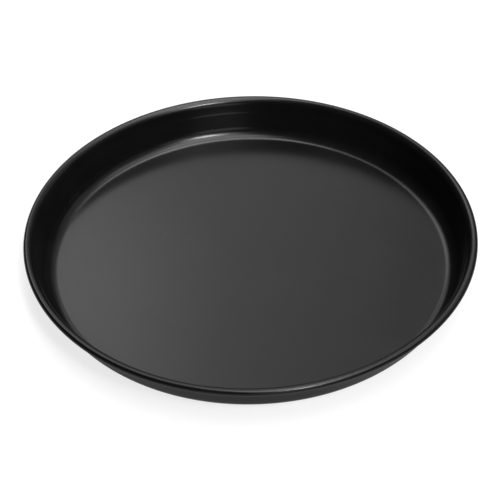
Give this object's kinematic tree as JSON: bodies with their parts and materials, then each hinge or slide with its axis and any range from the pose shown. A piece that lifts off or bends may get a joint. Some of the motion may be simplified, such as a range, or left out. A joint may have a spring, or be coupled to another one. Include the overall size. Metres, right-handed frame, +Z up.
{
  "type": "pizza pan",
  "caption": "Round shallow baking pan with a flat floor, a rounded corner, a wall that leans outwards and a rolled rim stiffened by a wire ring.",
  "frame": {"origin": "centre of the flat underside of the floor, on the pan's axis", "axes": "+Z up along the axis of the pan; the pan is round, and the wire's ends meet at +X"},
  "size_m": [0.28, 0.28, 0.025],
  "materials": {
    "black_coated_steel": "satin black coating",
    "steel_wire": "drawn wire"
  },
  "bodies": {
    "root": {"pan_body": "black_coated_steel", "rim_wire": "steel_wire"}
  },
  "joints": []
}
